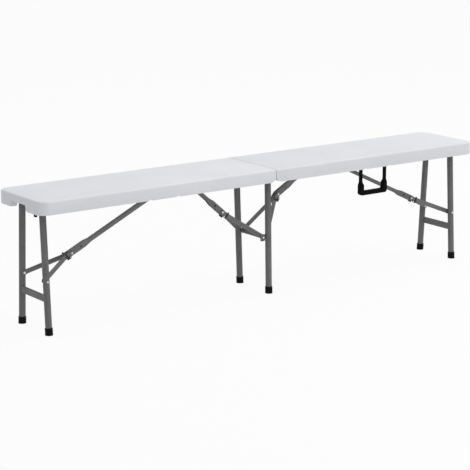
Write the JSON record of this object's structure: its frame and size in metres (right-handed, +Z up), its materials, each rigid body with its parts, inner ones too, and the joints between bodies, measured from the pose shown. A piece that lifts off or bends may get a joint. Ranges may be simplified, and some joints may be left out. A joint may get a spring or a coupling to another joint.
{
  "type": "folding bench",
  "caption": "Long narrow folding bench: white moulded seat in two halves hinged at the middle, grey folding leg frames with toggle braces, carrying handle.",
  "frame": {"origin": "on the floor, under the middle of the seam between the two halves", "axes": "+X along the bench to its right end, +Y across it to the back, +Z up"},
  "size_m": [1.83, 0.28, 0.445],
  "materials": {
    "seat_plastic": "white blow-moulded plastic with a fine grain",
    "leg_steel": "dark grey powder coat",
    "brace_steel": "grey powder coat",
    "dark_steel": "dark grey powder coat",
    "zinc_steel": "zinc plated",
    "rubber": "matt black",
    "black_plastic": "matt black, fine grain"
  },
  "bodies": {
    "right_half": {"right_seat_panel": "seat_plastic", "right_front_rail": "dark_steel", "right_back_rail": "dark_steel", "right_panel_screws": "zinc_steel", "right_hinge_plates": "dark_steel", "right_brace_brackets": "dark_steel", "right_brace_pins": "zinc_steel", "hinge_pins": "zinc_steel", "handle_brackets": "dark_steel", "handle_pins": "zinc_steel"},
    "right_end_frame": {"right_end_leg_front": "leg_steel", "right_end_leg_back": "leg_steel", "right_end_axle": "zinc_steel", "right_end_crossbar": "leg_steel", "right_end_feet": "rubber", "right_end_leg_rivets": "zinc_steel"},
    "right_mid_frame": {"right_mid_leg": "leg_steel", "right_mid_axle": "zinc_steel", "right_mid_foot": "rubber", "right_mid_tie_rod": "leg_steel"},
    "right_end_fork": {"right_end_brace_arm_front": "brace_steel", "right_end_brace_arm_back": "brace_steel", "right_end_knee_rivets": "zinc_steel", "right_end_lock_plates": "dark_steel"},
    "right_end_link": {"right_end_brace_link": "brace_steel"},
    "right_mid_fork": {"right_mid_brace_arm_front": "brace_steel", "right_mid_brace_arm_back": "brace_steel", "right_mid_knee_rivets": "zinc_steel", "right_mid_lock_plates": "dark_steel"},
    "right_mid_link": {"right_mid_brace_link": "brace_steel"},
    "left_half": {"left_seat_panel": "seat_plastic", "left_front_rail": "dark_steel", "left_back_rail": "dark_steel", "left_panel_screws": "zinc_steel", "left_hinge_plates": "dark_steel", "left_brace_brackets": "dark_steel", "left_brace_pins": "zinc_steel", "hook_pin": "zinc_steel"},
    "left_end_frame": {"left_end_leg_front": "leg_steel", "left_end_leg_back": "leg_steel", "left_end_axle": "zinc_steel", "left_end_crossbar": "leg_steel", "left_end_feet": "rubber", "left_end_leg_rivets": "zinc_steel"},
    "left_mid_frame": {"left_mid_leg": "leg_steel", "left_mid_axle": "zinc_steel", "left_mid_foot": "rubber", "left_mid_tie_rod": "leg_steel"},
    "left_end_fork": {"left_end_brace_arm_front": "brace_steel", "left_end_brace_arm_back": "brace_steel", "left_end_knee_rivets": "zinc_steel", "left_end_lock_plates": "dark_steel"},
    "left_end_link": {"left_end_brace_link": "brace_steel"},
    "left_mid_fork": {"left_mid_brace_arm_front": "brace_steel", "left_mid_brace_arm_back": "brace_steel", "left_mid_knee_rivets": "zinc_steel", "left_mid_lock_plates": "dark_steel"},
    "left_mid_link": {"left_mid_brace_link": "brace_steel"},
    "handle": {"carry_handle": "black_plastic"},
    "hook": {"closing_hook": "black_plastic"}
  },
  "joints": [
    {"name": "bench_fold", "type": "hinge", "parent": "right_half", "child": "left_half", "pos_m": [0, 0, 0.4], "axis": [0, -1, 0], "range_deg": [0, 180]},
    {"name": "right_end_leg_fold", "type": "hinge", "parent": "right_half", "child": "right_end_frame", "pos_m": [0.866, 0, 0.415], "axis": [0, 1, 0], "range_deg": [0, 90]},
    {"name": "right_end_fork_turn", "type": "hinge", "parent": "right_end_frame", "child": "right_end_fork", "pos_m": [0.866, 0, 0.174], "axis": [0, 1, 0], "range_deg": [0, 63.43]},
    {"name": "right_end_link_turn", "type": "hinge", "parent": "right_half", "child": "right_end_link", "pos_m": [0.318, 0, 0.428], "axis": [0, -1, 0], "range_deg": [0, 24.67]},
    {"name": "right_mid_leg_fold", "type": "hinge", "parent": "right_half", "child": "right_mid_frame", "pos_m": [0.02, 0, 0.415], "axis": [0, -1, 0], "range_deg": [0, 91.52]},
    {"name": "right_mid_fork_turn", "type": "hinge", "parent": "right_mid_frame", "child": "right_mid_fork", "pos_m": [0.01418, 0, 0.19543], "axis": [0, -1, 0], "range_deg": [0, 31.35]},
    {"name": "right_mid_link_turn", "type": "hinge", "parent": "right_half", "child": "right_mid_link", "pos_m": [0.29, 0, 0.428], "axis": [0, 1, 0], "range_deg": [0, 28.1]},
    {"name": "left_end_leg_fold", "type": "hinge", "parent": "left_half", "child": "left_end_frame", "pos_m": [-0.866, 0, 0.415], "axis": [0, -1, 0], "range_deg": [0, 90]},
    {"name": "left_end_fork_turn", "type": "hinge", "parent": "left_end_frame", "child": "left_end_fork", "pos_m": [-0.866, 0, 0.174], "axis": [0, -1, 0], "range_deg": [0, 63.43]},
    {"name": "left_end_link_turn", "type": "hinge", "parent": "left_half", "child": "left_end_link", "pos_m": [-0.318, 0, 0.428], "axis": [0, 1, 0], "range_deg": [0, 24.67]},
    {"name": "left_mid_leg_fold", "type": "hinge", "parent": "left_half", "child": "left_mid_frame", "pos_m": [-0.02, 0, 0.415], "axis": [0, 1, 0], "range_deg": [0, 94.41]},
    {"name": "left_mid_fork_turn", "type": "hinge", "parent": "left_mid_frame", "child": "left_mid_fork", "pos_m": [-0.00311, 0, 0.196], "axis": [0, 1, 0], "range_deg": [0, 46.25]},
    {"name": "left_mid_link_turn", "type": "hinge", "parent": "left_half", "child": "left_mid_link", "pos_m": [-0.29, 0, 0.428], "axis": [0, -1, 0], "range_deg": [0, 39.52]},
    {"name": "handle_swing", "type": "hinge", "parent": "right_half", "child": "handle", "pos_m": [0.453, -0.1095, 0.4], "axis": [-1, 0, 0], "range_deg": [0, 90]},
    {"name": "hook_swing", "type": "hinge", "parent": "left_half", "child": "hook", "pos_m": [-0.884, -0.05, 0.409], "axis": [-1, 0, 0], "range_deg": [0, 90]}
  ],
  "couplings": [
    {"joint": "right_end_leg_fold", "follows": "bench_fold", "ratio": 0.5},
    {"joint": "right_end_fork_turn", "follows": "bench_fold", "ratio": 0.35239},
    {"joint": "right_end_link_turn", "follows": "bench_fold", "ratio": 0.13704},
    {"joint": "right_mid_leg_fold", "follows": "bench_fold", "ratio": 0.50843},
    {"joint": "right_mid_fork_turn", "follows": "bench_fold", "ratio": 0.17418},
    {"joint": "right_mid_link_turn", "follows": "bench_fold", "ratio": 0.15613},
    {"joint": "left_end_leg_fold", "follows": "bench_fold", "ratio": 0.5},
    {"joint": "left_end_fork_turn", "follows": "bench_fold", "ratio": 0.35239},
    {"joint": "left_end_link_turn", "follows": "bench_fold", "ratio": 0.13704},
    {"joint": "left_mid_leg_fold", "follows": "bench_fold", "ratio": 0.52449},
    {"joint": "left_mid_fork_turn", "follows": "bench_fold", "ratio": 0.25697},
    {"joint": "left_mid_link_turn", "follows": "bench_fold", "ratio": 0.21955},
    {"joint": "handle_swing", "follows": "bench_fold", "ratio": 0.5}
  ]
}
